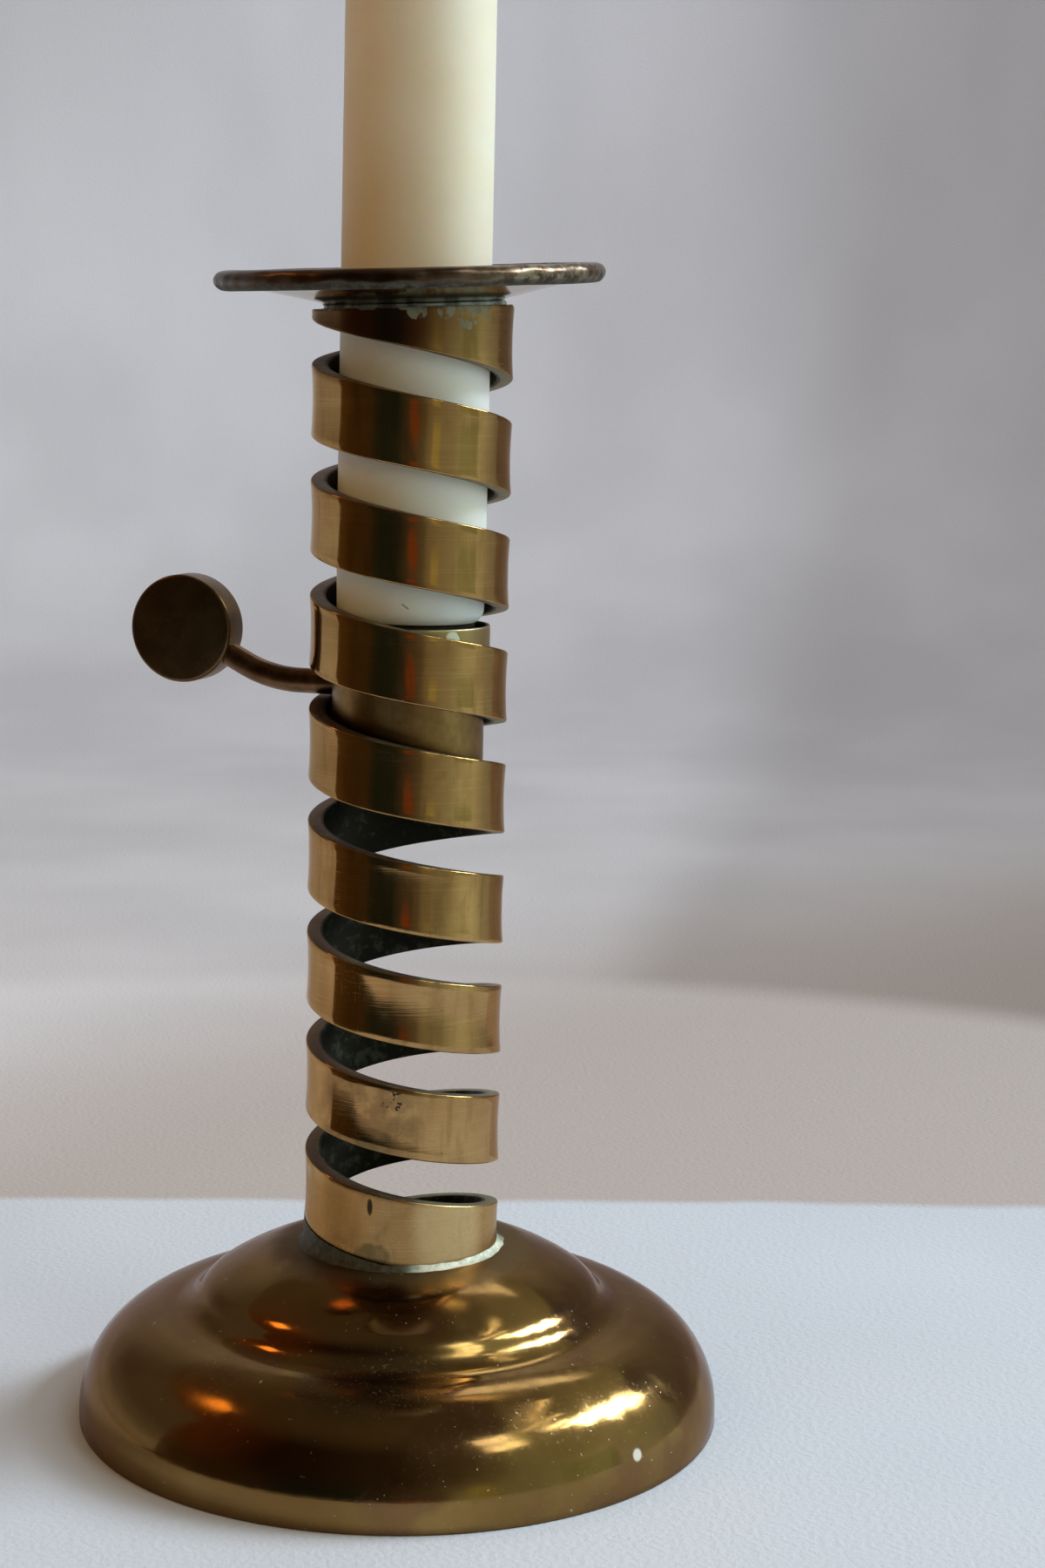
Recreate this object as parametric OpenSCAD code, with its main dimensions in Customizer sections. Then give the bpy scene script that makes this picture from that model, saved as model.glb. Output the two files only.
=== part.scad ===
// Spiral candle holder: a spun brass foot carries a column coiled from flat brass strip.
// A candle cup rides inside the column. Its arm comes out between two turns and ends in a
// thumb knob, so turning the knob round the column screws the candle up or down.
// Units are millimetres, +Z is up, the origin is the centre of the foot's rim on the table.
// The knob stands toward -X. The side seen in the photograph faces -Y.

/* [Foot] */
// Radius of the foot's rim
foot_r = 49.6; // [46:0.1:54]
// Height of the flat seat that carries the column
seat_h = 27; // [24:0.5:30]
// How far the flat seat reaches beyond the column
seat_w = 1.6; // [1.4:0.1:3]
// Thickness of the spun sheet
foot_wall = 1.2; // [0.8:0.1:1.6]

/* [Column] */
// Outer radius of the coiled strip
coil_r = 15; // [14.9:0.1:15.3]
// Thickness of the strip
coil_wall = 2.45; // [2.2:0.05:2.5]
// Height of the strip from edge to edge
strip_h = 10.58; // [10:0.02:11]
// Rise of the strip in one turn
pitch = 17.1; // [16.6:0.1:18]
// Height of the column from the foot's seat to its ground top, at its axis
coil_h = 143.35; // [141:0.05:146]
// How hollow the strip's outer face is across its height
strip_hollow = 0.4; // [0:0.02:0.5]
// Slope of the ground top and the drip pan, in degrees
top_tilt = 2.5; // [0:0.1:3]

/* [Drip pan] */
// Radius to the outside of the rolled rim
pan_r = 29; // [27:0.1:32]
// Radius of the rolled rim's section
rim_r = 1.55; // [1.2:0.05:1.8]
// Slope of the pan's underside, in degrees
pan_slope = 11.7; // [9:0.1:14]
// Thickness of the pan's sheet
pan_wall = 0.8; // [0.6:0.1:1]

/* [Candle cup] */
// Depth of the cup's rim at rest below the column's top
cup_drop = 47.35; // [46:0.05:49]
// Height of the cup
cup_h = 24.5; // [22:0.5:27]
// How much narrower the cup is below its collar
cup_step = 0.75; // [0.6:0.05:1]
// Height of the thicker collar at the cup's mouth
collar_h = 5.6; // [4.6:0.1:5.8]
// Thickness of the cup's wall
cup_wall = 0.6; // [0.5:0.05:0.8]

/* [Arm and knob] */
// Thickness of the arm
arm_d = 3.9; // [3.4:0.1:4.1]
// Direction in which the arm leaves the column, in degrees
arm_az = 160.3; // [155:0.1:175]
// Length of the arm before its bend, from the column's axis
arm_straight = 17.5; // [16:0.1:19]
// Radius of the arm's upward bend
arm_bend = 20.5; // [16:0.5:24]
// How far the arm's end rises from level, in degrees
arm_rise = 27.5; // [15:0.5:35]
// Length of the arm beyond its bend
arm_end = 2.1; // [1:0.1:3]
// Radius of the thumb knob
knob_r = 8.3; // [7:0.1:9]
// Thickness of the thumb knob
knob_t = 6.2; // [5:0.1:7]

/* [Candle] */
// Clearance round the candle in the neck of the drip pan
candle_play = 0.6; // [0.6:0.05:1.2]
// Length of the candle from its shoulder to its tip
candle_len = 190; // [120:1:250]
// Clearance round the candle's narrower butt in the cup
butt_play = 1.2; // [0.9:0.1:1.6]
// Length of the wick above the wax
wick_len = 9; // [5:0.5:14]

/* [Hidden] */
$fn = 96;

gap = 0.3; // clearance between pieces that move or are slipped together
join = 0.15; // clearance between pieces that are soldered together
coil_bore = coil_r - coil_wall;
seat_r = coil_r + seat_w;
coil_top = seat_h + coil_h;
collar_r = coil_bore - gap; // outer radius of the cup's collar
cup_r = collar_r - cup_step;
cup_rim_z = coil_top - cup_drop;
neck_r = coil_bore - gap; // outer radius of the drip pan's neck
neck_wall = 0.55;
candle_r = neck_r - neck_wall - candle_play;
butt_r = cup_r - cup_wall - butt_play;
tip_h = 1.3; // height of the strip left at its ground tip
end_h = 0.6; // height of the strip left at its ground foot
edge = 0.5; // rounding of the strip's edges
turn_steps = 40; // straight pieces in one turn of the coil
tip_az = 180; // direction of the coil's upper tip

// Lower edge of the strip at an angle that grows downward from the tip
tip_z = coil_top - tan(top_tilt) * coil_r - tip_h;
function strip_low(a) = tip_z - pitch * (a - tip_az) / 360;
function ground_top(x) = coil_top + tan(top_tilt) * x;
end_az = tip_az + 360 * (tip_z + strip_h - seat_h - end_h) / pitch;

// The arm rests on the lower side of the slot, at the slot's fourth pass of the arm's direction
slot_h = pitch - strip_h;
arm_turns = 3;
lead_angle = atan(pitch / (2 * PI * coil_bore));
arm_z = strip_low(arm_az + 360 * arm_turns) - slot_h + (arm_d / 2 + gap) / cos(lead_angle);

// ---- Foot: a chain of arcs from the seat to the rim, each with its radius and end slope ----
crown = [36, 12, 33]; // radius, first and last slope of the upper dome
shoulder = [8, 33, 56];
step_in = [-6, 56, 6]; // hollow between the two domes
brow = [17, 6, 35];
bulge = [15, 35, 90];
skirt = 1.9; // straight length above the rim
chain = [crown, shoulder, step_in, brow, bulge];
arc_steps = 9;

function arc_run(c) = c[0] > 0 ? c[0] * (sin(c[2]) - sin(c[1])) : -c[0] * (sin(c[1]) - sin(c[2]));
function arc_drop(c) = c[0] > 0 ? c[0] * (cos(c[1]) - cos(c[2])) : -c[0] * (cos(c[2]) - cos(c[1]));
function chain_run(n) = n < 0 ? 0 : arc_run(chain[n]) + chain_run(n - 1);
function chain_drop(n) = n < 0 ? 0 : arc_drop(chain[n]) + chain_drop(n - 1);
run_k = (foot_r - seat_r) / chain_run(len(chain) - 1);
drop_k = seat_h / (chain_drop(len(chain) - 1) + skirt);
function part_arc(c, t) = [c[0], c[1], c[1] + (c[2] - c[1]) * t];

// A point of the foot's outer face and the same point pushed in by d along its normal
function face_pt(n, t, d) =
    let (slope = chain[n][1] + (chain[n][2] - chain[n][1]) * t)
    [seat_r + run_k * (chain_run(n - 1) + arc_run(part_arc(chain[n], t))) - d * sin(slope),
     seat_h - drop_k * (chain_drop(n - 1) + arc_drop(part_arc(chain[n], t))) - d * cos(slope)];
function face_line(d) =
    [for (n = [0:len(chain) - 1]) for (i = [n == 0 ? 0 : 1:arc_steps]) face_pt(n, i / arc_steps, d)];
function backward(v) = [for (i = [len(v) - 1:-1:0]) v[i]];

module foot() {
    color([0.55, 0.42, 0.2])
    rotate_extrude()
    polygon(concat(
        [[coil_bore, seat_h - foot_wall], [coil_bore, seat_h], [seat_r, seat_h]],
        face_line(0),
        [[foot_r, 0], [foot_r - foot_wall, 0]],
        backward(face_line(foot_wall)),
        [[seat_r, seat_h - foot_wall]]
    ));
}

// ---- Column: a strip swept down a left-handed helix, its two ends ground flat ----
// Section at angle a: the outer face is hollow and the two outer edges are rounded
function strip_section(a) =
    let (
        lo = max(strip_low(a), seat_h),
        raw = strip_low(a) + strip_h,
        hi = min(raw, ground_top(coil_r * cos(a))),
        soft = min(edge, (hi - lo) / 4),
        dip = strip_hollow * (hi - lo) / strip_h,
        in_hi = min(raw, ground_top(coil_bore * cos(a))),
        out_hi = min(raw, ground_top((coil_r - soft) * cos(a)))
    )
    [for (p = [
        [coil_r - soft, lo],
        [coil_r, lo + soft],
        [coil_r - dip, (lo + hi) / 2],
        [coil_r, hi - soft],
        [coil_r - soft, out_hi],
        [coil_bore, in_hi],
        [coil_bore, lo]
    ]) [p[0] * cos(a), p[0] * sin(a), p[1]]];

// Faces of a swept solid with n rings of m points each
function sweep_faces(n, m) = concat(
    [backward([for (j = [0:m - 1]) j])],
    [for (i = [0:n - 2]) for (j = [0:m - 1]) [i * m + j, i * m + (j + 1) % m, (i + 1) * m + (j + 1) % m]],
    [for (i = [0:n - 2]) for (j = [0:m - 1]) [i * m + j, (i + 1) * m + (j + 1) % m, (i + 1) * m + j]],
    [[for (j = [0:m - 1]) (n - 1) * m + j]]
);

module coil() {
    steps = ceil((end_az - tip_az) * turn_steps / 360);
    rings = [for (i = [0:steps]) strip_section(tip_az + (end_az - tip_az) * i / steps)];
    color([0.76, 0.58, 0.3])
    polyhedron(
        points = [for (r = rings) for (p = r) p],
        faces = sweep_faces(len(rings), len(rings[0])),
        convexity = 20
    );
}

// ---- Solder: a run round the column's foot, thick under the strip's last raised edge ----
solder_low = 0.75; // height of the run where the column stands on its seat
solder_w = 1.1; // width of the run on the seat
ring_steps = 72;
fill_angle = 111.74; // how far round the thick part reaches
fill_to = tip_az + 360 * (tip_z - seat_h) / pitch; // where the strip's lower edge meets the seat
fill_from = fill_to - fill_angle;

// Height of the strip's last lower edge above the seat
function edge_over(a) = strip_low(a) - seat_h;

function solder_section(a) =
    let (
        thick = a >= fill_from && edge_over(a) > solder_low,
        inner = thick ? coil_bore + join : coil_r + join,
        top_in = thick ? edge_over(a) - join : solder_low,
        top_out = thick ? edge_over(a) - join : solder_low,
        outer = coil_r + join + solder_w
    )
    [for (p = [
        [outer, seat_h],
        [coil_r + join + 0.35 * solder_w, seat_h + 0.3 * top_out],
        [coil_r + join + 0.02, seat_h + top_out],
        [inner, seat_h + top_in],
        [inner, seat_h]
    ]) [p[0] * cos(a), p[0] * sin(a), p[1]]];

function loop_faces(n, m) = concat(
    [for (i = [0:n - 1]) for (j = [0:m - 1])
        [i * m + j, i * m + (j + 1) % m, ((i + 1) % n) * m + (j + 1) % m]],
    [for (i = [0:n - 1]) for (j = [0:m - 1])
        [i * m + j, ((i + 1) % n) * m + (j + 1) % m, ((i + 1) % n) * m + j]]
);

module foot_solder() {
    rings = [for (i = [0:ring_steps - 1]) solder_section(fill_from - 60 + 360 * i / ring_steps)];
    color([0.62, 0.62, 0.52])
    polyhedron(
        points = [for (r = rings) for (p = r) p],
        faces = loop_faces(len(rings), len(rings[0])),
        convexity = 6
    );
}

// ---- Drip pan: a shallow dish with a rolled rim and a short neck in the column's bore ----
neck_down = 2; // length of the neck below the column's top
dish_up = 0.95; // height of the dish's underside above the column's top, at the neck
rim_mid = pan_r - rim_r;
rim_up = dish_up + (rim_mid - neck_r) * tan(pan_slope) + 0.35; // height of the rim's middle

module on_top() {
    translate([0, 0, coil_top])
    rotate([0, -top_tilt, 0])
    children();
}

module drip_pan() {
    color([0.35, 0.27, 0.16])
    on_top()
    rotate_extrude() {
        polygon([
            [neck_r - neck_wall, -neck_down],
            [neck_r, -neck_down],
            [neck_r, dish_up],
            [rim_mid, dish_up + (rim_mid - neck_r) * tan(pan_slope)],
            [rim_mid, dish_up + pan_wall + (rim_mid - neck_r) * tan(pan_slope)],
            [neck_r - neck_wall, dish_up + pan_wall]
        ]);
        translate([rim_mid, rim_up])
        circle(r = rim_r, $fn = 40);
    }
}

solder_ring_w = 0.85; // width of the solder between column and pan

module pan_solder() {
    color([0.5, 0.55, 0.45])
    on_top()
    rotate_extrude()
    polygon([
        [coil_bore, join],
        [coil_bore + solder_ring_w, join],
        [coil_bore + solder_ring_w - 0.15, dish_up / 2],
        [coil_bore + solder_ring_w, dish_up - join / 2],
        [coil_bore, dish_up - join]
    ]);
}

// ---- Candle cup: a thin cup with a collar, and a disc soldered in as its floor ----
cup_low = cup_rim_z - cup_h;
floor_t = 1.5;
floor_up = 1.2; // height of the floor above the cup's lower edge
lip = 0.3; // rounding of the collar's two edges

module candle_cup() {
    color([0.7, 0.55, 0.28])
    rotate_extrude()
    polygon([
        [cup_r - cup_wall, cup_low],
        [cup_r, cup_low],
        [cup_r, cup_rim_z - collar_h],
        [collar_r - lip, cup_rim_z - collar_h],
        [collar_r, cup_rim_z - collar_h + lip],
        [collar_r, cup_rim_z - lip],
        [collar_r - lip, cup_rim_z],
        [collar_r - cup_wall, cup_rim_z],
        [collar_r - cup_wall, cup_rim_z - collar_h / 2],
        [cup_r - cup_wall, cup_rim_z - collar_h]
    ]);
}

module cup_floor() {
    color([0.66, 0.5, 0.26])
    translate([0, 0, cup_low + floor_up])
    cylinder(h = floor_t, r = cup_r - cup_wall - gap);
}

// ---- Arm: a round bar from the cup out through the slot, bent up toward the knob ----
// Moves its children into the arm's own upright plane, X outward along the arm
module arm_plane() {
    translate([0, 0, arm_z])
    rotate([0, 0, arm_az])
    children();
}
arm_tip = [arm_straight + arm_bend * sin(arm_rise), 0, arm_bend * (1 - cos(arm_rise))];
arm_lap = 0.4; // how far each straight length runs on inside the bend
arm_step = 0.02; // how much thinner the straight lengths are than the bend

module arm() {
    color([0.6, 0.46, 0.24])
    arm_plane() {
        translate([cup_r + gap, 0, 0])
        rotate([0, 90, 0])
        cylinder(h = arm_straight + arm_lap - cup_r - gap, d = arm_d - arm_step);
        translate([arm_straight, 0, arm_bend])
        rotate([90, 0, 0])
        rotate([0, 0, -90])
        rotate_extrude(angle = arm_rise)
        translate([arm_bend, 0])
        circle(d = arm_d);
        translate(arm_tip)
        rotate([0, 90 - arm_rise, 0])
        translate([0, 0, -arm_lap])
        cylinder(h = arm_end + arm_lap, d = arm_d - arm_step);
    }
}

// ---- Thumb knob: a turned disc that stands on its rim in the arm's plane ----
knob_edge = 0.6; // rounding of the edge round the knob's face
knob_back_edge = 0.9; // rounding of its other edge
knob_crown = 0.35; // rise of the face's middle
knob_out = arm_end + gap + knob_r;
knob_mid = arm_tip + knob_out * [cos(arm_rise), 0, sin(arm_rise)];

// A quarter round from slope a0 to a1, of radius e about the point c
function round_pts(c, e, a0, a1) = [for (i = [0:4]) let (a = a0 + (a1 - a0) * i / 4) c + e * [cos(a), sin(a)]];

module knob() {
    face_r = knob_r - knob_edge;
    color([0.32, 0.22, 0.12])
    arm_plane()
    translate(knob_mid)
    rotate([-90, 0, 0])
    rotate_extrude()
    polygon(concat(
        [[0, -knob_t / 2]],
        round_pts([knob_r - knob_back_edge, knob_back_edge - knob_t / 2], knob_back_edge, -90, 0),
        round_pts([face_r, knob_t / 2 - knob_edge - knob_crown], knob_edge, 0, 90),
        [for (i = [5:-1:0]) [face_r * i / 6, knob_t / 2 - knob_crown * pow(i / 6, 2)]]
    ));
}

// ---- Candle: its shoulder stands just above the cup's rim, its butt on the cup's floor ----
shoulder_up = 1.2; // height of the shoulder above the rim
shoulder_r = 2.4; // rounding of the shoulder
shoulder_z = cup_rim_z + shoulder_up;
butt_low = cup_low + floor_up + floor_t + gap;
taper = 1.3; // how much thinner the candle is below its tip
tip_len = 14; // length of the pointed tip
wick_r = 1;
wick_in = 3; // length of wick hole in the wax

module candle() {
    color([0.9, 0.86, 0.72])
    rotate_extrude()
    polygon(concat(
        [[0, butt_low], [butt_r - 0.6, butt_low], [butt_r, butt_low + 0.6], [butt_r, shoulder_z]],
        [for (i = [1:6]) let (a = 15 * i)
            [candle_r - shoulder_r + shoulder_r * sin(a), shoulder_z + shoulder_r * (1 - cos(a))]],
        [[candle_r - taper, shoulder_z + candle_len - tip_len]],
        [[candle_r - taper - 1.6, shoulder_z + candle_len - 0.6 * tip_len]],
        [[wick_r + 2.2, shoulder_z + candle_len - 1]],
        [[wick_r + gap, shoulder_z + candle_len], [wick_r + gap, shoulder_z + candle_len - wick_in]],
        [[0, shoulder_z + candle_len - wick_in]]
    ));
}

module wick() {
    color([0.86, 0.84, 0.78])
    translate([0, 0, shoulder_z + candle_len - wick_in])
    cylinder(h = wick_in + wick_len, r = wick_r, $fn = 32);
}

foot();
coil();
foot_solder();
drip_pan();
pan_solder();
candle_cup();
cup_floor();
arm();
knob();
candle();
wick();
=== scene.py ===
import math
import bpy
from mathutils import Matrix, Vector, noise


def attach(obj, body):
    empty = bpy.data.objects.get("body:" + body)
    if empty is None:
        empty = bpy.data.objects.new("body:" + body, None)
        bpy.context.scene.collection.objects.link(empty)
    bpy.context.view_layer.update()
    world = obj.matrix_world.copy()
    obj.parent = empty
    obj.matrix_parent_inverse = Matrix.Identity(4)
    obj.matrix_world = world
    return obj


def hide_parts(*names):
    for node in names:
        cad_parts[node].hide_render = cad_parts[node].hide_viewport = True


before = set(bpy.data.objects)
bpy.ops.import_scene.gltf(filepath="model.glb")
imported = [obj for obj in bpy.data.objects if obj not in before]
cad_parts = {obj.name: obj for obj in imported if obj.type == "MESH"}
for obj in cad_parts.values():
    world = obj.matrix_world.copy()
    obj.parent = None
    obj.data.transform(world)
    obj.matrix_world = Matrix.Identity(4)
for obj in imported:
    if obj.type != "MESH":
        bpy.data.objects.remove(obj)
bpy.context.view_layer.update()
mm = 0.001


# ---- small helpers for shader sheets ----

class Wire:
    # one socket, used in plain expressions
    def __init__(self, sheet, socket):
        self.sheet = sheet
        self.socket = socket

    def calc(self, operation, *values):
        return self.sheet.node("ShaderNodeMath", {"operation": operation}, dict(enumerate(values)))

    def other(self, output):
        return Wire(self.sheet, self.socket.node.outputs[output])

    def __add__(self, value):
        return self.calc("ADD", self, value)

    def __radd__(self, value):
        return self.calc("ADD", value, self)

    def __sub__(self, value):
        return self.calc("SUBTRACT", self, value)

    def __rsub__(self, value):
        return self.calc("SUBTRACT", value, self)

    def __mul__(self, value):
        return self.calc("MULTIPLY", self, value)

    def __rmul__(self, value):
        return self.calc("MULTIPLY", value, self)

    def __truediv__(self, value):
        return self.calc("DIVIDE", self, value)

    def __rtruediv__(self, value):
        return self.calc("DIVIDE", value, self)

    def __pow__(self, value):
        return self.calc("POWER", self, value)


class Sheet:
    # a node tree being filled
    def __init__(self, tree):
        self.tree = tree
        tree.nodes.clear()

    def end(self, kind, shader):  # the last node of the sheet
        self.tree.links.new(shader.socket, self.tree.nodes.new(kind).inputs["Surface"])

    def node(self, kind, settings=None, sockets=None, output=0):
        made = self.tree.nodes.new(kind)
        for key, value in (settings or {}).items():
            if key == "stops":
                fillRamp(made.color_ramp, value)
            else:
                setattr(made, key, value)
        for key, value in (sockets or {}).items():
            if isinstance(value, Wire):
                self.tree.links.new(value.socket, made.inputs[key])
            else:
                made.inputs[key].default_value = value
        return Wire(self, made.outputs[output])

    def blend(self, amount, first, second):  # colours
        return self.node("ShaderNodeMix", {"data_type": "RGBA"}, {0: amount, 6: first, 7: second}, 2)

    def step(self, value, low, high):  # 0 below low, 1 above high, or the other way round
        return self.node("ShaderNodeMapRange", {"interpolation_type": "SMOOTHSTEP"},
                         {"Value": value, "From Min": low, "From Max": high})

    def places(self):  # place on the piece in millimetres, and its x, y, z
        place = self.node("ShaderNodeTexCoord", output=3)
        inMm = self.node("ShaderNodeVectorMath", {"operation": "SCALE"}, {0: place, "Scale": 1000.0})
        x = self.node("ShaderNodeSeparateXYZ", sockets={0: inMm})
        return inMm, x, x.other(1), x.other(2)

    def grain(self, place, size, detail=3.0, rough=0.5, stretch=(1, 1, 1)):  # noise, size in millimetres
        scaled = self.node("ShaderNodeVectorMath", {"operation": "MULTIPLY"},
                           {0: place, 1: tuple(s / size for s in stretch)})
        return self.node("ShaderNodeTexNoise", sockets={"Vector": scaled, "Scale": 1.0,
                                                        "Detail": detail, "Roughness": rough})

    def near(self, place, spot, size, squash=(1, 1, 1)):  # 1 at a spot, 0 beyond size
        off = self.node("ShaderNodeVectorMath", {"operation": "SUBTRACT"}, {0: place, 1: spot})
        off = self.node("ShaderNodeVectorMath", {"operation": "MULTIPLY"}, {0: off, 1: squash})
        far = self.node("ShaderNodeVectorMath", {"operation": "LENGTH"}, {0: off}, 1)
        return self.step(far, size, size * 0.55)

    def bump(self, height, depth, strength=1.0, onTop=None):  # height 0 to 1, depth in millimetres
        sockets = {"Height": height, "Distance": depth * mm, "Strength": strength}
        if onTop:
            sockets["Normal"] = onTop
        return self.node("ShaderNodeBump", sockets=sockets)


def fillRamp(ramp, stops):
    while len(ramp.elements) > 1:
        ramp.elements.remove(ramp.elements[-1])
    for i, (position, colour) in enumerate(stops):
        element = ramp.elements[0] if i == 0 else ramp.elements.new(position)
        element.position = position
        element.color = (*colour, 1.0)


def finish(name):  # a new material and its sheet
    material = bpy.data.materials.new(name)
    material.use_nodes = True
    return material, Sheet(material.node_tree)


def close(sheet, sockets):
    shader = sheet.node("ShaderNodeBsdfPrincipled", sockets=sockets)
    sheet.end("ShaderNodeOutputMaterial", shader)


# ---- small helpers for meshes ----

def smoothMesh(name, points, faces, material, body, node, sharp):  # points in millimetres
    mesh = bpy.data.meshes.new(name)
    mesh.from_pydata([tuple(c * mm for c in p) for p in points], [], faces)
    mesh.validate()
    mesh.polygons.foreach_set("use_smooth", [True] * len(mesh.polygons))
    mesh.set_sharp_from_angle(angle=math.radians(sharp))
    mesh.materials.append(material)
    piece = bpy.data.objects.new(name, mesh)
    bpy.context.scene.collection.objects.link(piece)
    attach(piece, body)
    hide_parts(node)


def turned(profile, steps):  # a closed profile of (radius, height) turned about Z
    points, faces = [], []
    count = len(profile)
    for i in range(steps):
        a = 2 * math.pi * i / steps
        points += [(r * math.cos(a), r * math.sin(a), z) for r, z in profile]
    for i in range(steps):
        j = (i + 1) % steps
        for k in range(count):
            m = (k + 1) % count
            faces.append((i * count + k, j * count + k, j * count + m, i * count + m))
    return points, faces


def swept(rings, loop=False):  # rings of the same number of points
    count = len(rings[0])
    points = [p for ring in rings for p in ring]
    faces = []
    for i in range(len(rings) if loop else len(rings) - 1):
        j = (i + 1) % len(rings)
        for k in range(count):
            m = (k + 1) % count
            faces.append((i * count + k, j * count + k, j * count + m, i * count + m))
    if not loop:
        faces.append(tuple(range(count)))
        faces.append(tuple(range((len(rings) - 1) * count, len(rings) * count))[::-1])
    return points, faces


def rounded(corners, steps):  # (r, z, rounding) corners to a smooth closed outline
    line = []
    count = len(corners)
    for i, (r, z, size) in enumerate(corners):
        here = Vector((r, z))
        before = Vector(corners[i - 1][:2]) - here
        after = Vector(corners[(i + 1) % count][:2]) - here
        size = min(size, before.length * 0.45, after.length * 0.45)
        start = here + before.normalized() * size
        end = here + after.normalized() * size
        for k in range(steps + 1):
            t = k / steps
            p = start * (1 - t) ** 2 + here * 2 * t * (1 - t) + end * t ** 2
            line.append((p.x, p.y))
    return line


def onSlope(points, slope, nod, height):  # tilts points about the column's top, sideways and to the front
    turn = Matrix.Rotation(math.radians(-slope), 3, "Y") @ Matrix.Rotation(math.radians(nod), 3, "X")
    lift = Vector((0, 0, height))
    return [tuple(turn @ Vector(p) + lift) for p in points]


def wander(p, size, amount):  # a small smooth unevenness
    return amount * noise.noise(Vector(p) / size)


# ---- camera: the photographed view ----

cameraSet = {
    "place": (0, -412.35, 159.2),
    "down": 8.292,
    "roll": 1.126,
    "turn": 2.444,
    "lens": 62.85,
}
cameraData = bpy.data.cameras.new("camera")
cameraData.sensor_width = 36
cameraData.lens = cameraSet["lens"]
cameraData.clip_start = 0.01
camera = bpy.data.objects.new("camera", cameraData)
camera.matrix_world = (Matrix.Translation(Vector(cameraSet["place"]) * mm)
                       @ Matrix.Rotation(math.radians(-cameraSet["turn"]), 4, "Z")
                       @ Matrix.Rotation(math.radians(90 - cameraSet["down"]), 4, "X")
                       @ Matrix.Rotation(math.radians(cameraSet["roll"]), 4, "Z"))
bpy.context.scene.collection.objects.link(camera)
bpy.context.scene.camera = camera
bpy.context.scene.view_settings.view_transform = "Standard"
print("camera set")


# ---- floor, backdrop and light ----
# directions in degrees: 0 behind the candle holder, 90 to its right, 180 toward the camera

roomSet = {
    "clothColour": (0.73, 0.81, 0.94),
    "wallColour": (0.80, 0.81, 0.88),
    "shadeColour": (0.56, 0.52, 0.52),
    "tableReach": 285,
    "tableLeft": 190,
    "tableBack": 108,
    "wallReach": 1250,
    "bend": 480,
    "wallHeight": 1000,
    "wallFrom": -90,
    "wallTo": 64,
    "shadowColour": (0.13, 0.085, 0.05),
    "weave": 1.1,
}
lampSet = {
    "far": 2600,
    "near": 800,
    "windowGlow": (18.5, 20.0, 20.9),
    "windows": [  # around, up, wide, tall, share of the glow
        (68.5, 34, 9, 12, 1.0), (78.5, 38, 9, 12.5, 1.1), (88.5, 42, 9, 9, 1.0),
        (98, 49, 9, 1.6, 0.8), (97, 45, 6, 1.6, 0.7)],
    "skylight": {"columns": (127, 136), "rows": (46, 54), "wide": 5.5, "tall": 6.5, "glow": (4.5, 4.7, 4.4)},
    "middle": (0, 0, 160),
    "wall": (0, 1150, 260),
}


def toward(around, up, reach=1.0):
    a, e = math.radians(around), math.radians(up)
    return Vector((math.sin(a) * math.cos(e), math.cos(a) * math.cos(e), math.sin(e))) * reach


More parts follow.
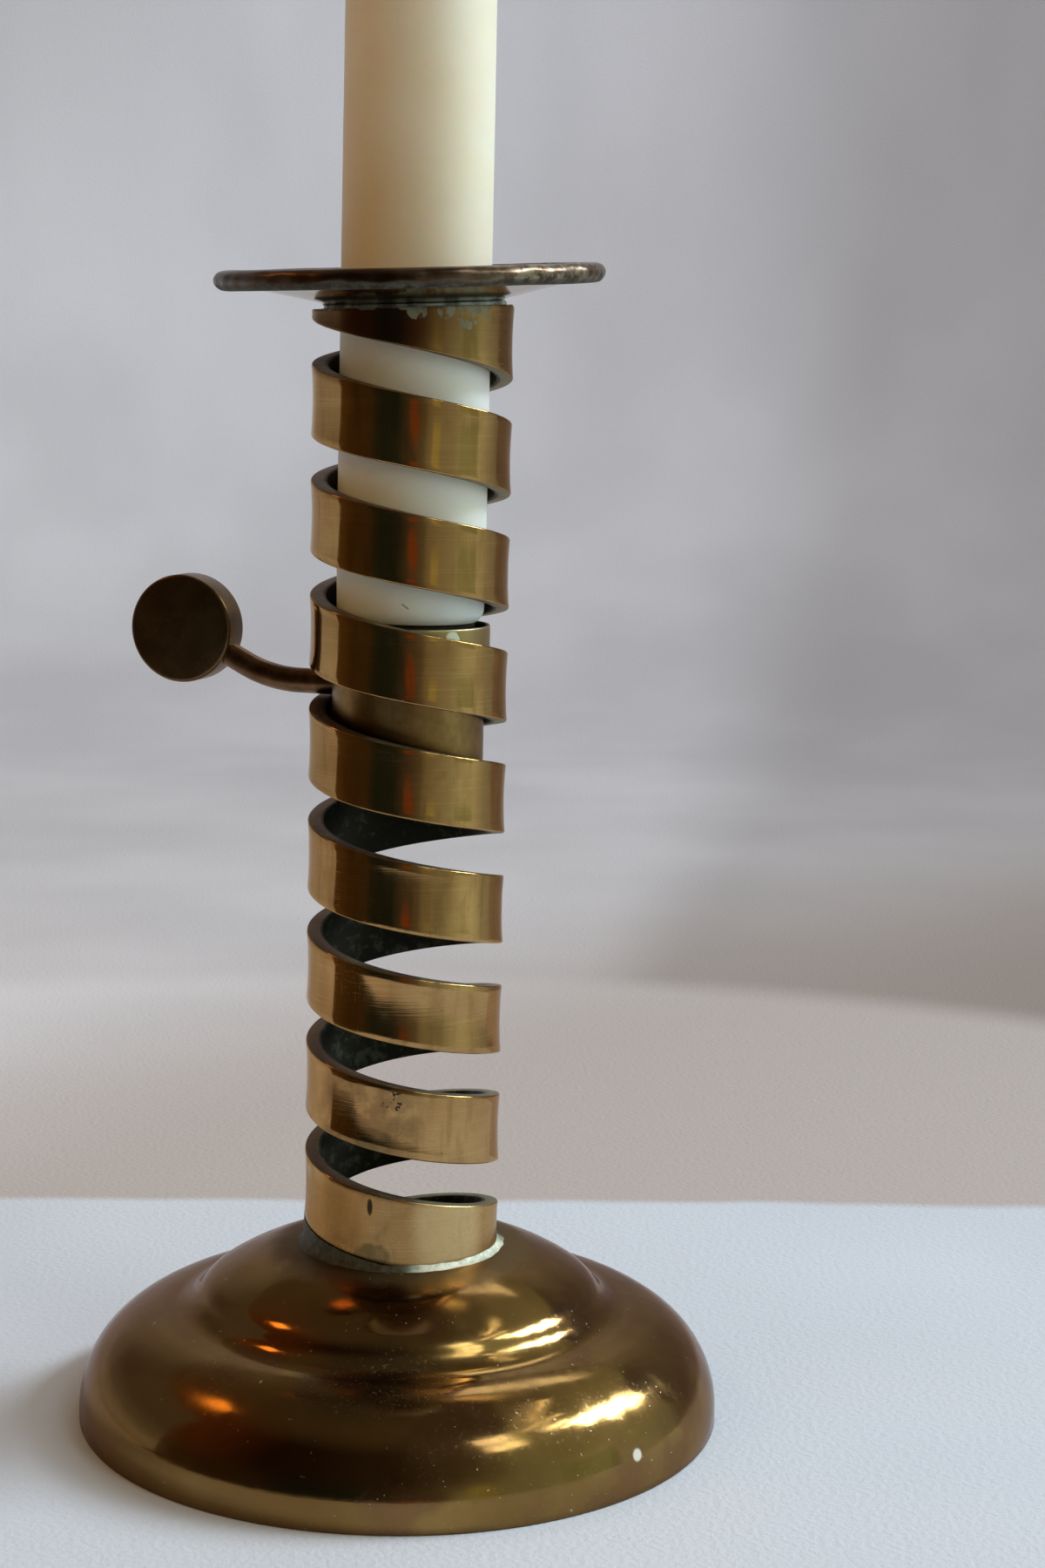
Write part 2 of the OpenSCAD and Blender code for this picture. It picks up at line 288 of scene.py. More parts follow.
def makeRoom():
    material, s = finish("paleCloth")
    place, x, y, z = s.places()
    # painted shade of soft folds: the table cloth a little darker in places
    foldShade = s.grain(place, 90, 2.0, 0.4, (1, 1, 0.35))
    cloth = roomSet["clothColour"]
    colour = s.blend(s.step(foldShade, 0.3, 0.7), (*[c * 0.94 for c in cloth], 1), (*cloth, 1))
    back = s.step(y + s.grain(place, 60, 2.0) * 12.0 - 6.0, roomSet["tableBack"] - 2, roomSet["tableBack"] + 3)
    colour = s.blend(back, colour, (*roomSet["shadeColour"], 1))
    # painted shade of hanging folds: the backdrop a little darker and lighter in upright bands
    drapeShade = s.grain(place, 120, 2.0, 0.5, (1, 1, 0.12))
    wall = s.blend(s.step(drapeShade, 0.3, 0.7), (*[c * 0.93 for c in roomSet["wallColour"]], 1),
                   (*[c * 1.05 for c in roomSet["wallColour"]], 1))
    reach = (x * x + y * y) ** 0.5
    colour = s.blend(s.step(reach + z - x, 190, 430), colour, wall)
    around = x.calc("ARCTAN2", x, y) * (180 / math.pi)  # both ends of the backdrop lie in shade
    shade = s.step(around, 8, 13.5) * 0.26 + s.step(around, 14, 46) * 0.2
    shade = shade + s.step(around, -3, -10) * 0.24 * s.step(z, 150, 500) + s.step(z, 90, 0) * 0.13
    shade = shade + s.step(around, -14, -46) * 0.60 * s.step(z, 0, 250)
    shade = shade * s.step(reach, 300, 330)
    colour = s.blend(shade, colour, (*roomSet["shadowColour"], 1))
    close(s, {"Base Color": colour, "Roughness": 0.9, "Specular IOR Level": 0.1,
              "Normal": s.bump(s.grain(place, roomSet["weave"], 2.0), 0.15)})
    table, wall, bend = roomSet["tableReach"], roomSet["wallReach"], roomSet["bend"]
    behind = [(r, 0) for r in (90, 200, wall - bend)]
    behind += [(wall - bend + bend * math.sin(math.radians(a)), bend - bend * math.cos(math.radians(a)))
               for a in range(6, 91, 6)]
    behind.append((wall, roomSet["wallHeight"]))
    before = [(r, 0) for r in (90, 160, table)] + [(table + 2, -3), (table + 2, -60), (table + 2, -300)]
    points, faces = [(0, 0, 0)], []
    for line, first, last in ((behind, roomSet["wallFrom"], roomSet["wallTo"]),
                              (before, roomSet["wallTo"], roomSet["wallFrom"] + 360)):
        steps = int((last - first) / 3)
        start, count = len(points), len(line)
        for i in range(steps + 1):
            degrees = first + (last - first) * i / steps
            a = math.radians(degrees)
            near = min(1, max(0, (degrees - 210) / 30)) if line is before else 0
            near *= 1 - roomSet["tableLeft"] / table  # the table is shorter on the left
            for r, up in line:
                out = r * (1 - (near if r > 170 else 0))
                points.append((out * math.sin(a), out * math.cos(a), up))
        for i in range(steps):
            here, after = start + i * count, start + (i + 1) * count
            faces.append((0, after, here))
            faces += [(here + k, after + k, after + k + 1, here + k + 1) for k in range(count - 1)]
    mesh = bpy.data.meshes.new("clothAndTable")
    mesh.from_pydata([tuple(c * mm for c in p) for p in points], [], faces)
    mesh.polygons.foreach_set("use_smooth", [True] * len(mesh.polygons))
    mesh.set_sharp_from_angle(angle=math.radians(40))
    mesh.materials.append(material)
    backdrop = bpy.data.objects.new("clothAndTable", mesh)
    bpy.context.scene.collection.objects.link(backdrop)


# sizes in degrees as seen from what the lamp is aimed at
def makeLamp(name, around, up, reach, wide, tall, glow, aim=(0, 0, 60), mirrored=True):
    data = bpy.data.lights.new(name, "AREA")
    data.shape = "RECTANGLE"
    size = [2 * reach * mm * math.tan(math.radians(d / 2)) for d in (wide, tall)]
    data.size, data.size_y = size
    strength = max(glow)
    data.color = [c / strength for c in glow]
    data.energy = strength * math.pi * size[0] * size[1]
    lamp = bpy.data.objects.new(name, data)
    place = Vector(aim) + toward(around, up, reach)
    lamp.location = place * mm
    lamp.visible_glossy = mirrored
    lamp.rotation_euler = (Vector(aim) - place).to_track_quat("-Z", "Y").to_euler()
    bpy.context.scene.collection.objects.link(lamp)


worldSet = {
    "low": [  # colours all round at eye level, by direction
        (-91, (0.11, 0.065, 0.022)), (-112, (0.062, 0.036, 0.012)), (-132, (0.057, 0.037, 0.015)),
        (-138, (0.03, 0.03, 0.02)), (-146, (0.017, 0.024, 0.018)), (-165, (0.022, 0.03, 0.024)),
        (-171, (0.05, 0.045, 0.035)), (174, (0.11, 0.092, 0.07)), (165, (0.15, 0.14, 0.10)),
        (160, (0.26, 0.25, 0.18)), (145, (0.34, 0.36, 0.30)), (130, (0.40, 0.44, 0.37)),
        (112, (0.64, 0.74, 0.64)), (95, (0.66, 0.76, 0.66)), (78, (0.42, 0.48, 0.44)),
        (62, (0.34, 0.37, 0.38)),
    ],
    "high": [  # and higher up
        (-10, (0.20, 0.17, 0.13)), (-40, (0.16, 0.11, 0.07)), (-70, (0.20, 0.07, 0.02)),
        (-100, (0.14, 0.05, 0.015)), (-130, (0.03, 0.015, 0.006)), (180, (0.05, 0.035, 0.02)),
        (150, (0.15, 0.14, 0.10)), (125, (0.42, 0.46, 0.36)), (95, (0.48, 0.50, 0.40)),
        (60, (0.44, 0.44, 0.32)), (30, (0.33, 0.33, 0.25)), (5, (0.20, 0.17, 0.13)),
    ],
    "overhead": (0.12, 0.10, 0.07),
    "streak": {"turn": 3, "wide": 7.5, "slant": 0.055, "level": -0.05, "middle": -0.06, "tall": 0.12,
               "colour": (0.235, 0.075, 0.026)},
    "patches": [(151, 9, -4, 12, (0.46, 0.45, 0.20)), (110, 26, -6, 16, (0.42, 0.52, 0.37))],
}


def makeWorld():
    world = bpy.data.worlds.new("room")
    world.use_nodes = True
    bpy.context.scene.world = world
    s = Sheet(world.node_tree)
    facing = s.node("ShaderNodeTexCoord", output=0)
    x = s.node("ShaderNodeSeparateXYZ", sockets={0: facing})
    y, z = x.other(1), x.other(2)
    side = x.calc("ARCTAN2", x, 0 - y) / (2 * math.pi) + 0.5  # 0.25 left, 0.5 camera, 0.75 right

    def ramp(stops):
        placed = [((0.5 + (180 - a) / 360 if a >= 0 else 0.5 - (180 + a) / 360), c) for a, c in stops]
        return s.node("ShaderNodeValToRGB", {"stops": placed}, {0: side})

    colour = s.blend(s.step(z, 0.10, 0.45), ramp(worldSet["low"]), ramp(worldSet["high"]))
    colour = s.blend(s.step(z, 0.72, 0.96), colour, (*worldSet["overhead"], 1))

    def patch(colour, around, wide, lowest, highest, glow):
        middle, half = 0.5 + math.copysign(180 - abs(around), around) / 360, wide / 720
        low, high = math.sin(math.radians(lowest)), math.sin(math.radians(highest))
        off = (side - middle).calc("ABSOLUTE", side - middle)
        inside = s.step(off, half + 0.004, half - 0.004)
        inside = inside * s.step(z, low - 0.02, low + 0.02) * s.step(z, high + 0.02, high - 0.02)
        return s.blend(inside, colour, (*glow, 1))

    streak = worldSet["streak"]  # a warm lit edge behind the camera
    off = (side - 0.5 - streak["turn"] / 360 - (z - streak["level"]) * streak["slant"]) / (streak["wide"] / 360)
    high = (z - streak["middle"]) / streak["tall"]
    colour = s.blend(s.step(off * off + high * high, 1.0, 0.2), colour, (*streak["colour"], 1))
    for around, wide, lowest, highest, glow in worldSet["patches"]:
        colour = patch(colour, around, wide, lowest, highest, glow)
    ground = s.node("ShaderNodeBackground", sockets={"Color": colour, "Strength": 1.0})
    s.end("ShaderNodeOutputWorld", ground)


makeRoom()
makeWorld()
for column, (around, up, wide, tall, share) in enumerate(lampSet["windows"]):
    makeLamp("window%d" % column, around, up, lampSet["far"], wide, tall,
             [c * share for c in lampSet["windowGlow"]])
skylight = lampSet["skylight"]
for column, around in enumerate(skylight["columns"]):
    for row, up in enumerate(skylight["rows"]):
        makeLamp("skylight%d%d" % (column, row), around, up, lampSet["far"], skylight["wide"], skylight["tall"],
                 skylight["glow"])
makeLamp("ledge", 75, 61, lampSet["far"], 22, 1.0, (7.0, 6.8, 6.2))
makeLamp("lowLedge", 98, 55, lampSet["far"], 18, 0.9, (6.0, 5.8, 5.2))
makeLamp("ceilingLamp", 25, 62, 1000, 8, 5, (1.7, 1.4, 0.8))
makeLamp("hearth", -76, 48, lampSet["near"], 9, 6, (6.5, 2.7, 0.5))
makeLamp("ember", -30, 62, lampSet["near"], 4, 4, (1.8, 0.45, 0.05))
makeLamp("warmFill", -140, 28, lampSet["near"], 60, 40, (0.80, 0.49, 0.20), lampSet["middle"], False)
makeLamp("sideFill", 108, 9, 1200, 62, 26, (1.25, 1.42, 1.58), lampSet["middle"], False)
makeLamp("backLight", 150, 62, 900, 36, 26, (1.8, 1.85, 2.05), lampSet["wall"])
print("floor, backdrop and light made")


# ---- foot: spun stepped dome ----

footSet = {
    "radius": 49.6,
    "seatHeight": 27,
    "seatRadius": 16.6,
    "wall": 1.2,
    "bore": 12.55,
    "skirt": 1.9,
    "arcs": [(36, 12, 33), (8, 33, 56), (-6, 56, 6), (17, 6, 35), (15, 35, 90)],
    "steps": 12,
    "around": 224,
    "spot": (34.7, -34.6, 6.0),
    "smudge": (-4.0, -35.5, 16.5),
    "dusty": (28, -38, 10),
}


def footLine(inset):
    run, drop = 0.0, 0.0
    raw = []
    for index, (radius, first, last) in enumerate(footSet["arcs"]):
        for k in range(0 if index == 0 else 1, footSet["steps"] + 1):
            a0, a1 = math.radians(first), math.radians(first + (last - first) * k / footSet["steps"])
            raw.append((run + radius * (math.sin(a1) - math.sin(a0)),
                        drop + radius * (math.cos(a0) - math.cos(a1)), a1))
        run, drop = raw[-1][0], raw[-1][1]
    wide = (footSet["radius"] - footSet["seatRadius"]) / run
    tall = footSet["seatHeight"] / (drop + footSet["skirt"])
    return [(footSet["seatRadius"] + wide * r - inset * math.sin(a),
             footSet["seatHeight"] - tall * d - inset * math.cos(a)) for r, d, a in raw]


def footBrass():
    material, s = finish("footBrass")
    place, x, y, z = s.places()
    cloudy = s.grain(place, 24, 4.0, 0.55)
    mottled = s.grain(place, 5, 5.0, 0.65)
    fine = s.grain(place, 0.6, 3.0, 0.6)
    spun = s.grain(place, 1.0, 2.0, 0.5, (0.02, 0.02, 3.0))
    colour = s.blend(s.step(cloudy, 0.36, 0.66), (0.235, 0.135, 0.042, 1), (0.32, 0.20, 0.066, 1))
    colour = s.blend(s.step(s.grain(place, 15, 3.0, 0.5), 0.54, 0.66) * 0.6, colour, (0.20, 0.10, 0.045, 1))
    colour = s.blend(s.step(x + s.grain(place, 30, 2.0) * 30.0, 22, -22) * 0.6, colour, (0.155, 0.08, 0.026, 1))
    colour = s.blend(s.step(mottled, 0.52, 0.75) * 0.5, colour, (0.23, 0.14, 0.055, 1))
    radius = (x * x + y * y) ** 0.5
    collar = s.step(radius + s.grain(place, 3, 3.0) * 3.0, 24.5, 19.0)  # dull ring round the column
    colour = s.blend(collar * 0.75, colour, (0.12, 0.095, 0.05, 1))
    low = s.step(z + s.grain(place, 8, 3.0) * 1.5, 2.0, 0.9)
    colour = s.blend(low * 0.6, colour, (0.14, 0.08, 0.035, 1))
    spot = s.near(place, footSet["spot"], 1.15)
    smudge = s.near(place, footSet["smudge"], 11.5, (0.8, 1.2, 1.3))
    dusty = s.step(s.grain(place, 16, 3.0, 0.6) + s.near(place, footSet["dusty"], 22) * 0.12, 0.46, 0.66)
    dust = s.step(fine, 0.58, 0.70) * (dusty * 0.22 + smudge * 0.4)
    specks = s.step(s.grain(place, 0.7, 1.0, 0.5), 0.75, 0.79) * (0.25 + dusty * 0.35)
    colour = s.blend(dust, colour, (0.32, 0.27, 0.18, 1))
    colour = s.blend(specks, colour, (0.62, 0.58, 0.46, 1))
    colour = s.blend(spot, colour, (0.72, 0.70, 0.60, 1))
    colour = s.blend(smudge * (1 - dust) * 0.6, colour, (0.10, 0.07, 0.035, 1))
    rough = 0.085 + s.step(mottled, 0.45, 0.8) * 0.05 + collar * 0.42 + fine * 0.04 + dust * 0.5 + spot * 0.4
    rough = rough + s.step(s.grain(place, 20, 4.0, 0.6), 0.48, 0.68) * 0.10 + specks * 0.4 + low * 0.12
    rough = rough + smudge * 0.12
    normal = s.bump(cloudy, 0.45, 0.25)
    normal = s.bump(s.grain(place, 9, 2.0, 0.4), 0.12, 0.3, normal)
    normal = s.bump(spun, 0.008, 0.4, normal)
    normal = s.bump(specks, 0.02, 0.5, normal)
    close(s, {"Base Color": colour, "Metallic": 1.0 - spot - specks * 0.7, "Roughness": rough,
              "Coat Weight": 0.05, "Coat Roughness": 0.4, "Specular Tint": (0.72, 0.62, 0.60, 1),
              "Normal": normal})
    return material


def makeFoot():
    outer = footLine(0)
    inner = footLine(footSet["wall"])
    low = footSet["wall"]
    seat = footSet["seatHeight"]
    outline = [(footSet["bore"], seat - low), (footSet["bore"], seat - 0.15), (footSet["bore"] + 0.15, seat),
               (footSet["seatRadius"] - 1.2, seat)] + outer
    outline += [(footSet["radius"], 0.35), (footSet["radius"] - 0.1, 0.1), (footSet["radius"] - 0.35, 0),
                (footSet["radius"] - low + 0.2, 0), (footSet["radius"] - low, 0.2)]
    outline += inner[::-1] + [(footSet["seatRadius"], seat - low)]
    points, faces = turned(outline, footSet["around"])
    smoothMesh("footShell", points, faces, footBrass(), "stand", "foot", 50)


makeFoot()
print("foot made")


# ---- column: coiled strip ----

coilSet = {
    "radius": 15,
    "wall": 2.45,
    "height": 10.58,
    "pitch": 17.1,
    "top": 170.35,
    "slope": 2.5,
    "nod": 1.3,
    "hollow": 0.2,
    "tipHeight": 1.3,
    "footHeight": 0.6,
    "edge": 0.26,
    "perTurn": 132,
    "crusts": [((0.6, -15, 169.7), 2.4), ((4.7, -14.3, 169.7), 2.2), ((8.0, -12.7, 169.0), 3.2),
               ((10.4, -10.9, 169.9), 2.2)],
    "darkSpots": [((-4.4, -14.3, 46.6), 4.4), ((-4.4, -14.3, 28.9), 4.0)],
    "darkPatch": (-6.0, -13.7, 50.0),
    "paintedShine": (7.6, -12.9, 33.5),
    "flaw": (-4.75, -14.2, 36.6),
    "pits": (-1.0, -15, 52.7),
}
coilBore = coilSet["radius"] - coilSet["wall"]
slopeRise = math.tan(math.radians(coilSet["slope"]))
nodRise = math.tan(math.radians(coilSet["nod"]))
tipLow = coilSet["top"] - slopeRise * coilSet["radius"] - coilSet["tipHeight"]
stripDrop = tipLow + coilSet["height"] - footSet["seatHeight"] - coilSet["footHeight"]
stripEnd = 180 + 360 * stripDrop / coilSet["pitch"]  # degrees, where the strip runs out on the foot


def stripLow(a):  # lower edge of the strip, a in degrees growing downward from the tip
    return tipLow - coilSet["pitch"] * (a - 180) / 360


def stripRing(a):
    seat = footSet["seatHeight"]
    low = max(stripLow(a), seat)
    turn = math.radians(a)
    c, sn = math.cos(turn), math.sin(turn)

    def roof(r):
        return min(stripLow(a) + coilSet["height"], coilSet["top"] + slopeRise * r * c + nodRise * r * sn)

    high = roof(coilSet["radius"])
    tall = high - low
    soft = min(coilSet["edge"], tall / 4)
    dip = coilSet["hollow"] * min(1, tall / coilSet["height"])
    line = [(coilBore + 0.25, low), (coilSet["radius"] - soft, low)]
    for k in range(1, 4):
        b = math.radians(30 * k)
        line.append((coilSet["radius"] - soft + soft * math.sin(b), low + soft - soft * math.cos(b)))
    for k in range(1, 10):
        t = k / 10
        face = dip * (1 - abs(2 * t - 1) ** 2.2)
        line.append((coilSet["radius"] - face, low + soft + (tall - 2 * soft) * t))
    for k in range(0, 3):
        b = math.radians(30 * k)
        line.append((coilSet["radius"] - soft + soft * math.cos(b), high - soft + soft * math.sin(b)))
    line.append((coilSet["radius"] - soft, roof(coilSet["radius"] - soft)))
    line.append((coilBore + 0.25, roof(coilBore)))
    line.append((coilBore + 0.06, roof(coilBore) - 0.08 * min(1, tall)))
    line.append((coilBore, roof(coilBore) - 0.3 * min(1, tall)))
    line.append((coilBore, (roof(coilBore) + low) / 2))
    line.append((coilBore, low + 0.3 * min(1, tall)))
    line.append((coilBore + 0.06, low + 0.08 * min(1, tall)))
    return [(r * c, r * sn, z) for r, z in line]


def coilBrass():
    material, s = finish("coilBrass")
    place, x, y, z = s.places()
    normal = s.node("ShaderNodeTexCoord", output=1)
    across = s.node("ShaderNodeSeparateXYZ", sockets={0: normal})
    radius = (x * x + y * y) ** 0.5
    inside = s.step(radius, coilBore + 0.75, coilBore + 0.35)
    flat = s.step(across.other(2).calc("ABSOLUTE", across.other(2)), 0.75, 0.95) * (1 - inside)
    cloudy = s.grain(place, 14, 3.0, 0.5)
    mottled = s.grain(place, 2.6, 4.0, 0.6)
    streaks = s.grain(place, 1.0, 3.0, 0.6, (0.05, 0.05, 5.0))
    colour = s.blend(s.step(cloudy, 0.35, 0.7), (0.40, 0.23, 0.088, 1), (0.49, 0.30, 0.12, 1))
    colour = s.blend(s.step(mottled, 0.52, 0.76) * 0.4, colour, (0.29, 0.16, 0.06, 1))
    colour = s.blend(s.step(streaks, 0.50, 0.72) * 0.4, colour, (0.58, 0.40, 0.18, 1))
    colour = s.blend(s.step(s.grain(place, 2.2, 3.0, 0.6, (1, 1, 0.16)), 0.50, 0.68) * 0.45, colour,
                     (0.27, 0.15, 0.055, 1))  # upright stains
    specks = s.step(s.grain(place, 0.45, 2.0, 0.5), 0.66, 0.74) * s.step(cloudy, 0.45, 0.6)
    colour = s.blend(specks * 0.45, colour, (0.22, 0.13, 0.055, 1))
    lowestTurn = s.step(z, 40.5, 37.5)  # the lowest turn: a deeper tint on its left part, a painted highlight on its right, and rougher
    colour = s.blend(lowestTurn * s.step(x, -2, -9) * 0.7, colour, (0.40, 0.20, 0.055, 1))
    # painted highlight: a light patch on the right of the lowest turn
    paintedShine = s.near(place, coilSet["paintedShine"], 7.5, (1, 1, 0.5))
    colour = s.blend(lowestTurn * paintedShine * 0.45, colour, (0.86, 0.66, 0.34, 1))
    topTurn = s.step(z + s.grain(place, 6, 2.0) * 6.0, 160, 171)  # the top turn, under the drip pan, is darker, browner and rougher, most on its left
    colour = s.blend(topTurn * (s.step(x, 12, -2) * 0.65 + 0.35), colour, (0.13, 0.065, 0.028, 1))
    below = coilSet["top"] + slopeRise * x + nodRise * y - z
    uneven = s.grain(place, 1.6, 4.0, 0.6)
    crust = s.step(s.grain(place, 2.6, 3.0, 0.6) * 2.4 - below, 0.95, 1.35)
    for spot, size in coilSet["crusts"]:
        crust = crust.calc("MAXIMUM", crust, s.step(s.near(place, spot, size) + uneven * 1.4, 1.62, 1.74))
    colour = s.blend(crust * 0.8, colour, s.blend(s.step(mottled, 0.35, 0.6), (0.13, 0.13, 0.09, 1),
                                                  (0.27, 0.29, 0.20, 1)))
    # flat faces of the strip: grey-green verdigris, with painted shade making them darker and browner toward
    # the left
    flatTintAndShade = s.blend(s.step(s.grain(place, 7, 3.0) + x * 0.016, 0.42, 0.62), (0.09, 0.06, 0.04, 1),
                    (0.20, 0.21, 0.15, 1))
    colour = s.blend(flat * 0.9, colour, flatTintAndShade)
    verdigris = s.step(s.grain(place, 2.2, 4.0, 0.7) + s.step(z, 110, 60) * 0.08, 0.56, 0.72)
    dark = s.blend(verdigris * 0.5, (0.014, 0.015, 0.009, 1), (0.12, 0.14, 0.095, 1))
    colour = s.blend(inside, colour, dark)
    # a darker, blotchy brown patch on the front of the column, about 50 mm up
    darkPatch = s.near(place, coilSet["darkPatch"], 11.0) * s.step(mottled, 0.30, 0.55)
    colour = s.blend(darkPatch * 0.6 * (1 - inside), colour, (0.20, 0.115, 0.05, 1))
    # two darker patches on the front of the lower turns
    for spot, size in coilSet["darkSpots"]:
        darkSpot = s.step(s.near(place, spot, size, (1, 1, 1.5)) * 0.6 + uneven, 0.72, 1.15) * (1 - inside)
        colour = s.blend(darkSpot * 0.6, colour, (0.10, 0.082, 0.035, 1))
    flaw = s.near(place, coilSet["flaw"], 0.75, (1.5, 1.0, 0.5))
    pits = s.near(place, coilSet["pits"], 2.6) * s.step(s.grain(place, 0.8, 2.0), 0.60, 0.64)
    colour = s.blend(flaw * 0.9, colour, (0.06, 0.05, 0.03, 1))
    colour = s.blend(pits, colour, (0.07, 0.045, 0.025, 1))
    scratches = s.step(s.grain(place, 1.0, 2.0, 0.5, (0.35, 0.35, 6.0)), 0.60, 0.72)
    scratches = scratches + s.step(s.grain(place, 1.0, 2.0, 0.5, (5.0, 5.0, 0.25)), 0.63, 0.74)
    scratches = scratches * s.step(s.grain(place, 8, 2.0), 0.42, 0.6)
    rough = 0.055 + s.step(mottled, 0.4, 0.8) * 0.06 + streaks * 0.05 + topTurn * 0.14 + crust * 0.4
    rough = rough + scratches * 0.16
    rough = rough + flat * 0.34 + inside * 0.40 + specks * 0.2 + flaw * 0.3 + pits * 0.3 + lowestTurn * 0.19
    metal = 1.0 - inside * 0.5 - crust * 0.7 - flat * 0.3
    surface = s.bump(cloudy, 0.2, 0.3)
    surface = s.bump(streaks, 0.008, 0.5, surface)
    surface = s.bump(crust, 0.05, 0.5, surface)
    surface = s.bump(1 - flaw, 0.12, 0.8, surface)
    close(s, {"Base Color": colour, "Metallic": metal, "Roughness": rough,
              "Specular Tint": (0.90, 0.80, 0.70, 1), "Normal": surface})
    return material


def makeCoil():
    steps = int((stripEnd - 180) * coilSet["perTurn"] / 360)
    rings = [stripRing(180 + (stripEnd - 180) * i / steps) for i in range(steps + 1)]
    points, faces = swept(rings)
    faces = [f[::-1] for f in faces]
    smoothMesh("coiledStrip", points, faces, coilBrass(), "stand", "coil", 60)


makeCoil()
print("column made")


# ---- solder at the column's foot and top ----

panSet = {
    "radius": 28.85,
    "rim": 1.45,
    "slope": 13.0,
    "wall": 0.8,
    "neck": 12.25,
    "neckWall": 0.55,
    "neckDown": 2.0,
    "up": 0.6,
    "nod": 2.6,
    "aside": -0.3,
    "around": 220,
}
solderSet = {
    "low": 0.75,
    "width": 1.1,
    "from": 165,
    "steps": 240,
    "topWidth": 0.85,
    "lump": (13.5, -1.5),
    "lumpSize": 3.2,
}


def footSolderFinish():
    material, s = finish("footSolder")
    place, x, y, z = s.places()
    rough = s.grain(place, 1.2, 4.0, 0.65)
    front = s.step(x + s.grain(place, 3, 2.0) * 4.0, 2.0, 7.0) * s.step(y, 4, -4)
    colour = s.blend(s.step(rough, 0.35, 0.65), (0.045, 0.038, 0.022, 1), (0.10, 0.095, 0.062, 1))
    pale = s.blend(s.step(rough, 0.4, 0.6), (0.50, 0.60, 0.50, 1), (0.80, 0.82, 0.70, 1))
    colour = s.blend(front, colour, pale)
    close(s, {"Base Color": colour, "Metallic": 0.4 - front * 0.35, "Roughness": 0.50 + rough * 0.15,
              "Normal": s.bump(rough, 0.15, 0.6)})
    return material


def makeFootSolder():
    seat = footSet["seatHeight"]
    turns = math.floor((stripEnd - solderSet["from"]) / 360)
    rings = []
    for i in range(solderSet["steps"]):
        a = solderSet["from"] - 60 + 360 * i / solderSet["steps"]
        over = stripLow(a + 360 * turns) - seat
        thick = a >= solderSet["from"] and over > solderSet["low"]
        turn = math.radians(a)
        lumps = 1 + wander((15 * math.cos(turn), 15 * math.sin(turn), 0), 2.2, 0.3)
        inner = coilBore + 0.15 if thick else coilSet["radius"] - 0.02
        tall = over - 0.1 if thick else solderSet["low"] * lumps
        wide = solderSet["width"] * lumps
        edge = coilSet["radius"] + 0.03
        line = [(inner, seat), (edge + wide, seat - 0.02), (edge + 0.62 * wide, seat + 0.07),
                (edge + 0.3 * wide, seat + 0.3 * min(tall, 1.2)),
                (edge + 0.1 * wide, seat + 0.65 * min(tall, 1.5)), (edge, seat + tall), (inner, seat + tall)]
        rings.append([(r * math.cos(turn), r * math.sin(turn), z) for r, z in line])
    points, faces = swept(rings, loop=True)
    faces = [f[::-1] for f in faces]
    smoothMesh("footSolderRun", points, faces, footSolderFinish(), "stand", "foot_solder", 70)


def panSolderFinish():
    material, s = finish("panSolder")
    place = s.places()[0]
    patches = s.grain(place, 2.4, 4.0, 0.6)
    colour = s.blend(s.step(patches, 0.4, 0.62), (0.25, 0.27, 0.24, 1), (0.68, 0.74, 0.70, 1))
    close(s, {"Base Color": colour, "Metallic": 0.2, "Roughness": 0.38, "Normal": s.bump(patches, 0.12, 0.6)})
    return material


def makePanSolder():
    low, high, wide = 0.02, panSet["up"], solderSet["topWidth"]
    outline = [(coilBore, low), (coilBore + wide * 1.05, low), (coilBore + wide * 0.85, 0.3 * high),
               (coilBore + wide * 0.78, 0.5 * high), (coilBore + wide * 0.85, 0.75 * high),
               (coilBore + wide * 1.1, high + 0.1), (coilBore, high)]
    points, faces = turned(outline, 144)
    shaped = []
    for x, y, z in points:  # it fills the wedge between the column's top and the pan, with a lump on the right
        nod = coilSet["nod"] + (panSet["nod"] - coilSet["nod"]) * min(1, max(0, z / high))
        off = math.hypot(x - solderSet["lump"][0], y - solderSet["lump"][1])
        lump = max(0, 1 - off / solderSet["lumpSize"]) * (1 - abs(z / high - 0.5))
        push = 1 + 0.07 * lump + wander((x, y, z), 3, 0.02)
        shaped.append((x * push, y * push, z + y * math.tan(math.radians(nod))))
    points = onSlope(shaped, coilSet["slope"], 0, coilSet["top"])
    faces = [f[::-1] for f in faces]
    smoothMesh("panSolderRun", points, faces, panSolderFinish(), "stand", "pan_solder", 60)


makeFootSolder()
makePanSolder()
print("solder made")


# ---- drip pan ----

